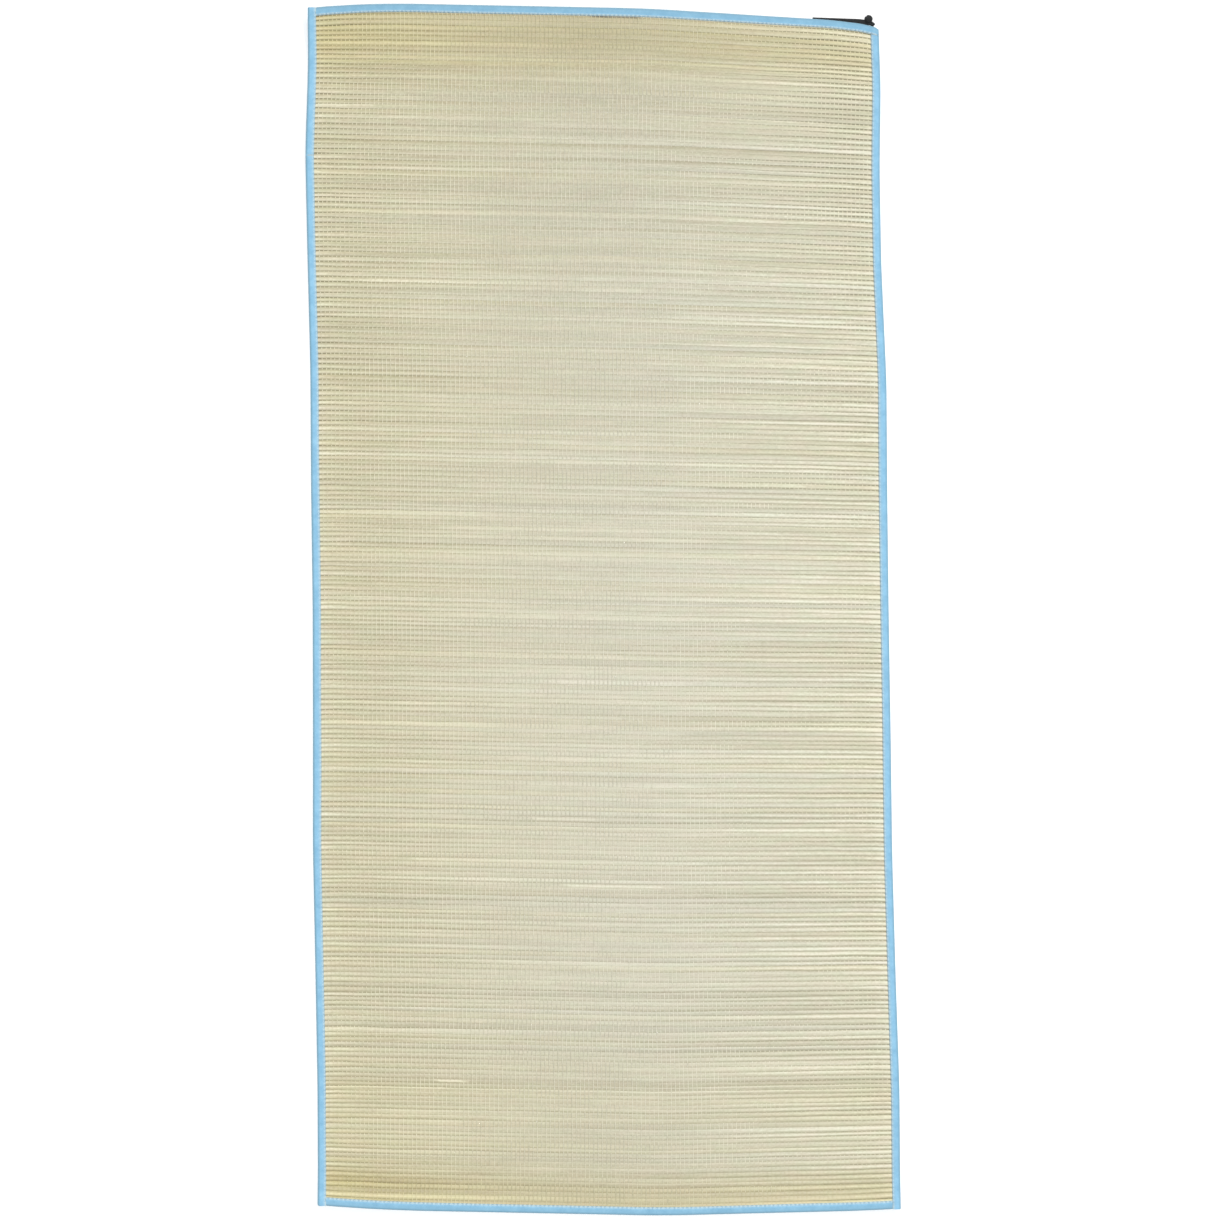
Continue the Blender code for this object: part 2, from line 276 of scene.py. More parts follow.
def panel_at(x, y):
    """low and high z of the panel's crests and the height of its ground, at places in plan."""
    left = np.interp(y, REACH[0][:, 1], REACH[0][:, 0])
    right = np.interp(y, REACH[-1][:, 1], REACH[-1][:, 0])
    share = np.clip((x - left) / (right - left), 0, 1)
    heights = (np.stack([np.interp(y, c[:, 1], c[:, i]) for c in REACH], -1) for i in (2, 3))
    low, high = (smooth(ACROSS, height, share, row_by_row=True) for height in heights)
    press = np.clip((PANEL_THICK - (high - low)) / (PANEL_THICK - PRESSED_THICK), 0, 1)
    return low, high, low - HEM_RISE * press


# ---- meshes


def fill(data, field, values, kind=np.float32):
    data.foreach_set(field, np.ascontiguousarray(values, kind).ravel())


def new_mesh(name, points, loops, starts, attributes, uv, material):
    """A mesh object from arrays. attributes are vectors for each point, and uv is given for each loop."""
    mesh = bpy.data.meshes.new(name)
    mesh.vertices.add(len(points))
    fill(mesh.vertices, "co", points)
    mesh.loops.add(len(loops))
    fill(mesh.loops, "vertex_index", loops, np.int32)
    mesh.polygons.add(len(starts))
    fill(mesh.polygons, "loop_start", starts, np.int32)
    mesh.update(calc_edges=True)
    for label, values in attributes.items():
        layer = mesh.attributes.new(label, "FLOAT_VECTOR", "POINT")
        fill(layer.data, "vector", values)
    layer = mesh.uv_layers.new(name="OFBake")
    fill(layer.data, "uv", uv)
    mesh.shade_smooth()
    mesh.materials.append(material)
    made = bpy.data.objects.new(name, mesh)
    bpy.context.scene.collection.objects.link(made)
    return made


def tubes(name, rings, material, attributes=None):
    """Closed tubes from rings[tube][ring][side] of points, each with its own strip of the UV square."""
    count, length, sides = rings.shape[:3]
    index = np.arange(count * length * sides).reshape(count, length, sides)
    turned = np.roll(index, -1, axis=2)
    quads = np.stack([index[:, :-1], index[:, 1:], turned[:, 1:], turned[:, :-1]], -1).reshape(-1, 4)
    caps = np.concatenate([index[:, 0], index[:, -1, ::-1]])
    loops = np.concatenate([quads.ravel(), caps.ravel()])
    starts = np.concatenate([np.arange(len(quads)) * 4, len(quads) * 4 + np.arange(len(caps)) * sides])
    side = np.arange(sides)
    along = np.broadcast_to((np.arange(length) / (length - 1))[None, :, None], index.shape)
    across = (np.arange(count)[:, None, None] + 0.04 + 0.92 * side / sides) / count
    across = np.broadcast_to(across, index.shape)
    uv = np.stack([0.002 + 0.996 * along, across], -1).reshape(-1, 2)[loops]
    closing = np.broadcast_to(side == sides - 1, index[:, :-1].shape).reshape(-1)
    seam = uv[: len(quads) * 4].reshape(-1, 4, 2)
    seam[closing, 2:, 1] = seam[closing, :2, 1][:, ::-1] + 0.92 / sides / count
    given = {key: value.reshape(-1, 3) for key, value in (attributes or {}).items()}
    return new_mesh(name, rings.reshape(-1, 3), loops, starts, given, uv, material)


def unit(vectors):
    return vectors / np.linalg.norm(vectors, axis=-1, keepdims=True)


def run_along(line):
    """The length of a line up to each of its points."""
    return np.concatenate([[0], np.cumsum(np.linalg.norm(np.diff(line, axis=0), axis=1))])


def drift(count, length, reach):
    """count smooth random curves, mostly between -1 and 1, with a knot for each reach points."""
    knots = max(4, int(length / reach))
    values = rng.normal(0, 0.5, (count, knots))
    return smooth(np.linspace(0, 1, knots), values, np.linspace(0, 1, length))


# ---- materials

STRAW_TONES = [
    (0.00, (0.290, 0.260, 0.178)),
    (0.30, (0.410, 0.384, 0.278)),
    (0.55, (0.510, 0.487, 0.372)),
    (0.80, (0.615, 0.595, 0.466)),
    (1.00, (0.740, 0.725, 0.605)),
]
TAPE_TONES = [(0.15, (0.185, 0.42, 0.62)), (0.50, (0.250, 0.515, 0.725)), (0.85, (0.325, 0.61, 0.82))]
DUST_AND_SHADE_COLOUR = (0.30, 0.27, 0.17)
GAP_SHADE_COLOUR = (0.03, 0.028, 0.018)  # painted shade where one looks down into a gap between the straws
FOLD_SHADE_AND_DARKER_TAPE = (0.185, 0.36, 0.475)  # painted shade over the fold, and the darker colour that the front and back tapes go towards
# the worn inner edge, mixed in more over the ribs' crests as a painted highlight
WORN_AND_LIT_TAPE = (0.50, 0.645, 0.69)
SHADED_TAPE = (0.20, 0.27, 0.30)  # where the worn edge dips between the ribs
TAPE_RIB, TAPE_WEFT = 0.9, 0.75  # mm from one to the next
ELASTIC_CORD, ELASTIC_BRAID = 1.1, 0.8  # the same


class Nodes:
    """A short way to add a material's nodes and links."""

    def __init__(self, name):
        self.material = bpy.data.materials.new(name)
        self.material.use_nodes = True
        self.tree = self.material.node_tree
        self.shader = self.tree.nodes["Principled BSDF"]

    def set(self, socket, value):
        if isinstance(value, bpy.types.NodeSocket):
            self.tree.links.new(value, socket)
        elif socket.type == "RGBA":
            socket.default_value = (*value, 1)
        else:
            socket.default_value = value

    def add(self, kind, inputs=None, **settings):
        node = self.tree.nodes.new("ShaderNode" + kind)
        for key, value in settings.items():
            setattr(node, key, value)
        for key, value in (inputs or {}).items():
            self.set(node.inputs[key], value)
        return node

    def math(self, operation, a, b=0.0, c=0.0):
        return self.add("Math", {0: a, 1: b, 2: c}, operation=operation).outputs[0]

    def times(self, a, b):
        return self.math("MULTIPLY", a, b)

    def times_plus(self, a, b, c):
        return self.math("MULTIPLY_ADD", a, b, c)

    def attribute(self, name):
        vector = self.add("Attribute", attribute_name=name).outputs["Vector"]
        return self.add("SeparateXYZ", {0: vector}).outputs

    def noise(self, scale, detail=2.0, roughness=0.5):
        """scale is about how many features lie in a metre, along x, y and z."""
        where = self.add("TexCoord").outputs["Object"]
        where = self.add("VectorMath", {0: where, 1: scale}, operation="MULTIPLY").outputs[0]
        inputs = {"Vector": where, "Scale": 1.0, "Detail": detail, "Roughness": roughness}
        return self.add("TexNoise", inputs).outputs["Fac"]

    def ramp(self, value, stops):
        node = self.add("ValToRGB", {"Fac": value})
        elements = node.color_ramp.elements
        while len(elements) < len(stops):
            elements.new(0.5)
        for element, (at, colour) in zip(elements, stops):
            element.position = at
            element.color = (*colour, 1)
        return node.outputs["Color"]

    def mix(self, factor, a, b, blend="MIX"):
        node = self.add("Mix", {0: factor, 6: a, 7: b}, data_type="RGBA", blend_type=blend)
        return node.outputs[2]

    def bump(self, height, distance, strength=1.0):
        inputs = {"Height": height, "Distance": distance, "Strength": strength}
        return self.add("Bump", inputs).outputs["Normal"]

    def finish(self, **inputs):
        for key, value in inputs.items():
            self.set(self.shader.inputs[key.replace("_", " ").title()], value)
        return self.material


def straw_material():
    """Dried straw: long fibres, each straw's own tone, waxy gloss, a pinch at every warp thread with a
    little painted shade in it, and dust with painted shade deep between the ribs. The attributes have tone
    and warmth, which carry painted sheen and shade too, dust with painted shade, and the place across in
    warps."""
    n = Nodes("straw")
    tone, warmth, dust_and_shade = n.attribute("straw")
    warp = n.attribute("weave")[0]
    fibres = n.noise((14.0, 1300.0, 900.0), 3.0, 0.6)
    patches = n.noise((130.0, 420.0, 420.0), 3.0, 0.65)
    tint = n.noise((28.0, 70.0, 70.0), 2.0)
    pinch = n.math("POWER", n.math("ABSOLUTE", n.math("COSINE", n.times(warp, math.pi))), 0.5)
    shade = n.times_plus(fibres, 0.36, tone)
    shade = n.times_plus(patches, 0.70, shade)
    # a little painted shade where each warp thread pinches the straw
    shade = n.times_plus(pinch, 0.03, n.math("ADD", shade, -0.55))
    colour = n.ramp(shade, STRAW_TONES)
    # warmth, with painted sheen and shade in it as well as the straws' own
    tint_with_painted_sheen = n.mix(warmth, (0.99, 1.0, 1.02), (1.05, 0.95, 0.585))
    colour = n.mix(1.0, colour, tint_with_painted_sheen, "MULTIPLY")
    hue = n.ramp(tint, [(0.35, (1.02, 0.99, 1.0)), (0.65, (0.98, 1.01, 0.985))])
    colour = n.mix(1.0, colour, hue, "MULTIPLY")
    # dust with painted shade deep between the ribs
    colour = n.mix(n.times(dust_and_shade, 0.80), colour, DUST_AND_SHADE_COLOUR)
    # past 1, the painted shade of a gap
    colour = n.mix(n.math("SUBTRACT", dust_and_shade, 1.0), colour, GAP_SHADE_COLOUR)
    gloss = n.times_plus(patches, 0.16, 0.32)
    height = n.times_plus(pinch, 1.2, fibres)
    return n.finish(base_color=colour, roughness=gloss, normal=n.bump(height, 0.16 * MM, 0.8))


def thread_material():
    """Thin cotton warp, a little paler than the straw, with the same painted sheen and shade as the straw
    where it lies.
    """
    n = Nodes("warp_thread")
    tone, warmth, _ = n.attribute("tint_with_painted_sheen")
    twist = n.noise((900.0, 500.0, 900.0))
    colour = n.ramp(twist, [(0.3, (0.64, 0.62, 0.49)), (0.7, (0.80, 0.78, 0.65))])
    tint_with_painted_sheen = n.mix(warmth, (1.0, 1.0, 1.03), (1.03, 0.96, 0.66))
    colour = n.mix(1.0, colour, tint_with_painted_sheen, "MULTIPLY")
    lightness = n.times_plus(tone, 0.8, 1.0)
    colour = n.add("VectorMath", {0: colour, "Scale": lightness}, operation="SCALE").outputs[0]
    return n.finish(base_color=colour, roughness=0.75, normal=n.bump(twist, 0.15 * MM))


def tape_material():
    """Light blue woven tape with a fine rib across it. The attribute has the place along and across the
    tape in mm, and how deep the colour is there, or below nought how pale. Deep over the fold is painted
    shade; the pale worn inner edge gets a painted highlight over the ribs' crests and painted shade between
    them."""
    n = Nodes("tape")
    along, across, depth = n.attribute("tape")
    rib = n.math("SINE", n.times(along, 2 * math.pi / TAPE_RIB))
    weft = n.math("SINE", n.times(across, 2 * math.pi / TAPE_WEFT))
    weave = n.times_plus(n.times(rib, weft), 0.5, n.times(rib, 0.35))
    cloud = n.noise((70.0, 70.0, 70.0), 4.0, 0.65)
    lint = n.noise((500.0, 500.0, 500.0), 3.0, 0.7)
    shade = n.times_plus(lint, 0.50, n.times_plus(cloud, 1.1, -0.30))
    shade = n.times_plus(weave, 0.12, shade)
    colour = n.ramp(shade, TAPE_TONES)
    pale = n.math("MAXIMUM", n.times(depth, -1.0), 0.0)
    # painted highlight on the worn inner edge over the ribs' crests, and painted shade between them
    crest = n.math("COSINE", n.times(along, 2 * math.pi / (TAPE_BEAT / MM)))
    pale_edge = n.times(n.times_plus(crest, 0.30, 0.85), pale)
    dip = n.times(n.times_plus(crest, -0.24, 0.24), pale)
    # painted shade over the fold, and the darker front and back tapes
    colour = n.mix(n.math("MAXIMUM", depth, 0.0), colour, FOLD_SHADE_AND_DARKER_TAPE)
    colour = n.mix(pale_edge, colour, WORN_AND_LIT_TAPE)
    colour = n.mix(dip, colour, SHADED_TAPE)
    threads = n.times_plus(weave, 0.5, lint)
    height = n.times_plus(n.times(crest, pale), 1.5, threads)
    normal = n.bump(height, 0.12 * MM, 0.7)
    return n.finish(base_color=colour, roughness=0.72, normal=normal, sheen_weight=0.2)


def stitch_material():
    """Thread, paler than the tape."""
    n = Nodes("stitching")
    twist = n.noise((900.0, 900.0, 900.0))
    colour = n.ramp(twist, [(0.3, (0.46, 0.68, 0.84)), (0.7, (0.68, 0.82, 0.92))])
    return n.finish(base_color=colour, roughness=0.6, normal=n.bump(twist, 0.1 * MM))


def elastic_material():
    """Black braided elastic. The attribute has the place along and across it in mm."""
    n = Nodes("elastic")
    along, across, _ = n.attribute("elastic")
    cords = n.math("SINE", n.times(across, 2 * math.pi / ELASTIC_CORD))
    zigzag = n.math("ADD", along, n.math("ABSOLUTE", cords))
    braid = n.math("SINE", n.times(zigzag, 2 * math.pi / ELASTIC_BRAID))
    lint = n.noise((700.0, 700.0, 700.0), 3.0, 0.7)
    colour = n.ramp(lint, [(0.35, (0.004, 0.005, 0.006)), (0.75, (0.014, 0.016, 0.018))])
    height = n.times_plus(cords, 0.6, n.times_plus(braid, 0.25, lint))
    return n.finish(base_color=colour, roughness=0.62, normal=n.bump(height, 0.2 * MM), sheen_weight=0.04)


# ---- straw panel

RIB_SHARE = np.linspace(-1, 1, RIB_COLUMNS)
RIB_SHARE = 0.5 + 0.5 * RIB_SHARE * (1 + CROWDING - CROWDING * abs(RIB_SHARE) ** 2.5)
WARP_SHARE = (np.arange(WARPS) + 0.5) / WARPS


def dragged(x):
    """How far the sewing at the two sides has moved the ribs towards the front."""
    sides = np.exp((x[:, :1] - x) / DRAG_REACH) + DRAG_RIGHT * np.exp((x - x[:, -1:]) / DRAG_REACH)
    lengthwise = np.clip((DRAG_ENDS - abs(np.linspace(-0.5, 0.5, len(x)))) / DRAG_FADE, 0, 1)
    return -DRAG * sides * lengthwise[:, None]


def by_place(away, at, thirds):
    """thirds[third][knot] at the distances away[rib][column] from an end of the mat."""
    values = np.stack([np.interp(away, at, third) for third in thirds])
    share = np.stack([np.interp(RIB_SHARE, THIRDS, row) for row in np.eye(len(THIRDS))])
    return (values * share[:, None]).sum(0)


def rib_roundness(y):
    """How round the ribs are at places y[rib][column]."""
    rounder = by_place((y[-1:] - y) / MM, ROUNDER_AT, ROUNDER)
    return np.minimum(np.interp(RIB_SHARE, ACROSS_AT, ROUND_BY) * rounder, ROUNDEST)


def rib_sections(y):
    """The ribs' sections at every column, between the round and the flat one, with uneven grooves."""
    roundness = rib_roundness(y)
    full, flat = np.array(ROUND_SECTION), np.array(FLAT_SECTION)
    shape = flat + (full - flat) * roundness[:, :, None, None]
    overlap = FLAT_OVERLAP + (ROUND_OVERLAP - FLAT_OVERLAP) * roundness
    overlap = np.concatenate([overlap[:1], overlap])
    variety = GROOVE_BY_RIB * rng.normal(0, 1, (RIBS + 1, 1)) + drift(RIBS + 1, RIB_COLUMNS, 13)
    overlap = np.clip(overlap * 2 ** (GROOVE_DEPTHS * variety), *OVERLAP_RANGE)
    overlap[0] = overlap[-1] = 0
    shape[:, :, BACK_SIDE, 0] += overlap[1:]
    shape[:, :, FRONT_SIDE, 0] -= overlap[:-1]
    for straw in (BACK_STRAW, TOP_STRAW, FRONT_STRAW):
        swell = 1 + SWELL_ALONG * drift(RIBS, RIB_COLUMNS, 10)
        swell = swell + SWELL_BY_RIB * rng.normal(0, 1, (RIBS, 1))
        shape[:, :, straw, 1] *= np.minimum(swell, MOST_SWELL)
    return shape


def rib_lines():
    """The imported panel's lines, with the slant of its four corners kept to the ribs near the two ends."""
    lines = LINES.copy()
    y = LINES[..., 1]
    for column, near, far in ((0, 2, 3), (1, 2, 3), (-1, -2, -3)):
        slope = (y[:, near] - y[:, far]) / (ACROSS[near] - ACROSS[far])
        straight = y[:, near] + slope * (ACROSS[column] - ACROSS[near])
        slant = y[:, column] - straight
        from_front, from_back = y[:, column] - y[0, column], y[-1, column] - y[:, column]
        kept = slant[0] * np.exp(-from_front / SLANT_REACH) + slant[-1] * np.exp(-from_back / SLANT_REACH)
        lines[:, column, 1] = straight + kept
    return lines


def rib_rings():
    """rings[rib][column][side] of points on the ribs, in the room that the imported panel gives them."""
    lines = rib_lines()
    x, y, _, _ = line_at(lines[1::2], RIB_SHARE)
    grooves = line_at(lines[0::2], RIB_SHARE)[1]
    grooves[1:-1] += RIB_WANDER * drift(RIBS - 1, RIB_COLUMNS, 4)
    grooves += dragged(np.concatenate([x[:1], x]))
    shape = rib_sections(y)
    rings = np.empty((*shape.shape[:3], 3))
    rings[..., 0] = x[..., None]
    back, front = grooves[1:, :, None], grooves[:-1, :, None]
    rings[..., 1] = (back * (1 + shape[..., 0]) + front * (1 - shape[..., 0])) / 2
    plan = rings[..., 0].ravel(), rings[..., 1].ravel()
    low, high, _ = (z.reshape(shape.shape[:3]) for z in panel_at(*plan))
    rings[..., 2] = (low + high) / 2 + (high - low) / 2 * shape[..., 1]
    return rings


def rib_tone():
    """How light each straw is, about 0 to 1: by bands of ribs, by rib, by straw, and along them."""
    sides = len(ROUND_SECTION)
    bands = np.interp(np.arange(RIBS), np.linspace(0, RIBS, BANDS), rng.normal(0, 1, BANDS))
    ribs = BAND_TONE * bands + RIB_TONE * rng.normal(0, 1, RIBS)
    ribs = ribs[:, None] + RIB_DRIFT * drift(RIBS, RIB_COLUMNS, 16)
    tone = STRAW_DRIFT * drift(RIBS * sides, RIB_COLUMNS, 13)
    tone = tone + STRAW_FLECKS * drift(RIBS * sides, RIB_COLUMNS, 3)
    tone = np.where(tone < 0, DARK_SHARE * tone, tone)
    tone = tone.reshape(RIBS, sides, RIB_COLUMNS).transpose(0, 2, 1)
    tone += ribs[:, :, None] + STRAW_TONE * rng.normal(0, 1, (RIBS, 1, sides))
    for rib in range(RIBS):  # one straw of each has another tone for a stretch
        straw = rng.choice((BACK_STRAW, TOP_STRAW, FRONT_STRAW))
        start = rng.integers(-10, RIB_COLUMNS - 4)
        tone[rib, max(0, start) : start + rng.integers(4, 40), straw] += rng.normal(0.02, END_TONE)
    return BASE_TONE + tone * np.interp(RIB_SHARE, ACROSS_AT, VARY_BY)[:, None]


def painted_shade_and_sheen(rings):
    """Painted light and shade in tone and warmth, across the mat and near its two ends, for every rib and
    column.
    """
    y = rings[:, :, TOP_STRAW, 1] / MM
    tone, warm = (np.interp(RIB_SHARE, ACROSS_AT, values) for values in (TONE_ACROSS, WARM_ACROSS))
    tone = tone + by_place(y[-1:] - y, BACK_AT, BACK_TONE) + by_place(y - y[:1], FRONT_AT, FRONT_TONE)
    warm = warm + by_place(y[-1:] - y, BACK_AT, BACK_WARM) + by_place(y - y[:1], FRONT_AT, FRONT_WARM)
    return tone, warm


def pale_straws(rings, share):
    """How pale the single straws over the threads are, for every rib at shares of the width."""
    x, y = rings[:, :, TOP_STRAW, 0] / MM, rings[:, :, TOP_STRAW, 1] / MM
    shown = np.zeros((RIBS, len(share)))
    for start, stop, along, pale in PALE_STRAWS:
        column = np.argmin(abs(x[RIBS // 2] - (start + stop) / 2))
        rib = np.argmin(abs(y[:, column] - along))
        across = np.interp(share, RIB_SHARE, x[rib])
        shown[rib] = pale * ((across > start) & (across < stop))
    return shown


def shade_under_loose_stretch(values, rings):
    """Painted shadow: dark dashes on the last rib but one, where the back tape's edge stands off it."""
    x = rings[-2, :, 0, 0]
    gap = np.clip((x - LOOSE[0]) / MM, 0, 1) * np.clip((LOOSE[1] - x) / MM, 0, 1)
    gap *= rng.uniform(*LOOSE_SHADOW, RIB_COLUMNS)
    values[-2, :, FRONT_STRAW, 2] = np.maximum(gap, values[-2, :, FRONT_STRAW, 2])
    values[-2, :, TOP_STRAW, 2] = 0.6 * gap


def straw_ribs(rings, material):
    """All ribs in a few pieces, from the front of the mat to the back."""
    values, places = np.empty_like(rings), np.zeros_like(rings)
    # painted sheen and shade across the mat and near its ends
    tone, warm = painted_shade_and_sheen(rings)
    values[..., 0] = rib_tone() + tone[..., None]
    values[..., TOP_STRAW, 0] += pale_straws(rings, RIB_SHARE)
    # painted highlight on the crests of round ribs
    values[..., TOP_STRAW, 0] += CREST_HIGHLIGHT * rib_roundness(rings[:, :, TOP_STRAW, 1])
    warm += WARM_DRIFT * drift(RIBS, RIB_COLUMNS, 20) + WARM_BY_RIB * rng.normal(0, 1, (RIBS, 1))
    values[..., 1] = np.clip(warm / WARMEST, 0, 1)[..., None]
    # dust with painted shade in the grooves and underneath
    values[..., 2] = GROOVE_DUST_AND_SHADE
    shade_under_loose_stretch(values, rings)
    # painted shade of a gap in the straw, on one point of a rib
    hole_rib = np.argmin(abs(rings[:, 3, TOP_STRAW, 1] - HOLE[1]))
    hole_column = np.argmin(abs(rings[0, :, 0, 0] - HOLE[0]))
    values[hole_rib, hole_column, FRONT_SIDE] = HOLE_LOOK
    places[..., 0] = (RIB_SHARE * WARPS)[:, None]
    for number, chosen in enumerate(np.array_split(np.arange(RIBS), RIB_PIECES), 1):
        given = {"straw": values[chosen], "weave": places[chosen]}
        piece = tubes(f"straw_ribs_{number}", rings[chosen], material, given)
        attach(piece, "root")
        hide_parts("straw_panel")


def at_warps(line):
    """line[rib][column] of points, read at every warp thread."""
    after = np.searchsorted(RIB_SHARE, WARP_SHARE)
    share = ((WARP_SHARE - RIB_SHARE[after - 1]) / np.diff(RIB_SHARE)[after - 1])[:, None]
    return line[:, after - 1] * (1 - share) + line[:, after] * share


def warp_threads(rings, material):
    """One thread over the ribs and one under them at every warp, stained as the straw is."""
    variety = drift(RIBS, WARPS, 7) + SINK_BY_RIB * rng.normal(0, 1, (RIBS, 1))
    variety = variety + SINK_BY_PLACE * rng.normal(0, 1, (RIBS, WARPS))
    sinking = (np.interp(WARP_SHARE, ACROSS_AT, SINK_BY) + SINK_VARIETY * variety) * MM
    sinking += PALE_OVER * (pale_straws(rings, WARP_SHARE) > 0)
    over = np.stack([at_warps(rings[:, :, side]) for side in (FRONT_STRAW, BACK_STRAW)], 1)
    over = over.reshape(RIBS * 2, WARPS, 3).transpose(1, 0, 2).copy()
    over[..., 0] += THREAD_WANDER * drift(WARPS, RIBS * 2, 60)
    over[..., 2] += OVER_RISE * THREAD_HALF_HEIGHT - np.repeat(sinking.T, 2, axis=1)
    under = at_warps((rings[:, :, -1] + rings[:, :, -2]) / 2).transpose(1, 0, 2).copy()
    under[..., 2] += UNDER_RISE * THREAD_HALF_HEIGHT
    tone, warm = painted_shade_and_sheen(rings)
    # the straw's painted sheen and shade, for the threads
    tint_with_painted_sheen = at_warps(np.stack([tone, warm / WARMEST, 0 * tone], -1)).transpose(1, 0, 2)
    for number, chosen in enumerate(np.array_split(np.arange(WARPS), OVER_PIECES), 1):
        thread(f"warp_threads_{number}", over[chosen], np.repeat(tint_with_painted_sheen[chosen], 2, axis=1), 1, material)
    for number, chosen in enumerate(np.array_split(np.arange(WARPS), UNDER_PIECES), OVER_PIECES + 1):
        thread(f"warp_threads_{number}", under[chosen], tint_with_painted_sheen[chosen], -1, material)


def thread(name, path, tint_with_painted_sheen, up, material):
    """Three-sided threads along paths that run to the back, with the ridge up or down."""
    rings = np.repeat(path[:, :, None], 3, axis=2)
    reach = THREAD_HALF_WIDTH * np.array([0, -1, 1]) * up
    rise = THREAD_HALF_HEIGHT * np.array([1, -0.5, -0.5]) * up
    rings[..., 0] += reach
    rings[..., 2] += rise
    given = {"tint_with_painted_sheen": np.repeat(tint_with_painted_sheen[:, :, None], 3, axis=2)}
    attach(tubes(name, rings, material, given), "root")


# ---- tapes


@dataclass
class Tape:
    """One of the four tapes."""

    name: str
    node: str  # the one that it stands for
    rests_on: list
    face: float
    fringe: float
    darkening: float
    inward: int  # 1 where that is to the left of its line, and -1 to the right
    ends: tuple  # for each, 1 where it laps over another tape and -1 where it lies under one
    rounded: tuple  # the radius of the outer corner at each end
    joint: float = math.inf  # where its own two ends join, if they do
    loose: tuple = (0, 0)  # the stretch where its inner edge stands off the straw

    def set_edge(self, line, axis, crossings):
        """line is the panel's edge moved out to the tape's own outer edge, in plan. crossings are the
        places along the axis of the ribs or threads that end under the tape."""
        before, after = (PANEL_INSET + LAP_TAIL if end > 0 else -END_SHORT for end in self.ends)
        run = run_along(line)
        length = run[-1]
        run = np.concatenate([[-BEYOND], run, [length + BEYOND]])
        first = line[0] + BEYOND * unit(line[0] - line[1])
        last = line[-1] + BEYOND * unit(line[-1] - line[-2])
        line = np.concatenate([[first], line, [last]])
        start, stop = -before, length + after
        count = round((stop - start) / TAPE_STEP)
        at = np.linspace(start, stop, count + 1)[1:-1]
        at = np.concatenate([start + END_STEPS, at, stop - END_STEPS])
        if self.joint < math.inf:
            at = np.concatenate([at, self.joint - line[1, 1] + JOINT_STEPS])
        at = np.sort(at)
        self.edge = np.stack([np.interp(at, run, line[:, i]) for i in range(2)], -1)
        self.at = at - start
        self.beat = np.interp(self.edge[:, axis], crossings, np.arange(len(crossings)) * TAPE_BEAT)
        off = np.minimum(self.edge[:, axis] - self.loose[0], self.loose[1] - self.edge[:, axis])
        self.lift = LOOSE_LIFT * np.clip(off / LOOSE_RAMP, 0, 1)
        tangent = unit(np.gradient(self.edge, axis=0))
        self.inside = np.stack([-tangent[:, 1], tangent[:, 0]], -1) * self.inward

    def from_ends(self):
        return self.at, self.at[-1] - self.at

    def lapped(self):
        """1 where the tape lies on another one, and -1 where it lies under one."""
        total = np.zeros(len(self.at))
        for end, near in zip(self.ends, self.from_ends()):
            total += end * np.clip((self.face + LAP_OVER - near) / LAP_RAMP, 0, 1)
        return total

    def cut_corners(self):
        """How far the outer edge draws in, where the tape's end is rounded."""
        drawn = np.zeros(len(self.at))
        for radius, near in zip(self.rounded, self.from_ends()):
            short = np.clip(radius - near, 0, radius)
            drawn += radius - np.sqrt(radius * radius - short * short)
        return drawn

    def raised(self):
        """How high the tape's upper face lies over the joint between its two ends, in thicknesses."""
        past = self.edge[:, 1] - self.joint
        return np.clip(past / JOINT_RISE + 1, 0, 1) * np.clip((JOINT_LEVEL - past) / JOINT_FADE, 0, 1)

    def joint_line(self):
        """How pale the tape is along the edge of its joint."""
        return np.exp(-(((self.edge[:, 1] - self.joint) / JOINT_LINE) ** 2))

    def place_at(self, inset):
        """The places in plan that lie so far in from the outer edge."""
        drawn = self.cut_corners()
        inset = drawn + inset * (1 - drawn / self.face)
        return self.edge + self.inside * inset[:, None]

    def upper(self, inset):
        """The same places with the height of the upper leaf."""
        place = self.place_at(inset)
        shift = TAPE_THICK * (LAP_SHIFT * np.clip(self.lapped(), 0, 1) + LAP_SHIFT * self.raised())
        return place, panel_at(place[:, 0], place[:, 1])[1] + TAPE_CLEAR + TAPE_THICK / 2 + shift

    def lower(self, inset):
        """The same places with the height of the lower leaf."""
        place = self.place_at(inset)
        shift = TAPE_THICK * LAP_SHIFT * np.clip(-self.lapped(), 0, 1)
        return place, panel_at(place[:, 0], place[:, 1])[2] + TAPE_THICK / 2 + shift


def tape_section(strip, face, pucker):
    """The middle of the tape's thickness, from the upper inner edge over the fold to the lower one."""
    line = []
    for step in range(LEAF_POINTS):
        share = step / LEAF_POINTS
        place, z = strip.upper(face[0] * (1 - share) + FOLD_DEPTH * share)
        rise = TAPE_SWELL * math.sin(math.pi * share) + pucker * math.sin(math.pi * min(1, 2.2 * share))
        sunk = (EDGE_SINK - strip.lift) * max(0.0, 1 - 3 * share)
        line.append(np.column_stack([place, z + rise - sunk]))
    fold = np.full(len(strip.at), FOLD_DEPTH)
    top, bottom = strip.upper(fold)[1], strip.lower(fold)[1]
    centre, height = (top + bottom) / 2, (top - bottom) / 2
    for step in range(FOLD_POINTS + 1):
        angle = math.pi * (0.5 - step / FOLD_POINTS)
        place = strip.place_at(fold - (FOLD_DEPTH - TAPE_THICK / 2) * math.cos(angle))
        line.append(np.column_stack([place, centre + height * math.sin(angle)]))
    for step in range(1, LEAF_POINTS + 1):
        share = step / LEAF_POINTS
        line.append(np.column_stack(strip.lower(face[1] * share + FOLD_DEPTH * (1 - share))))
    return np.stack(line, 1)


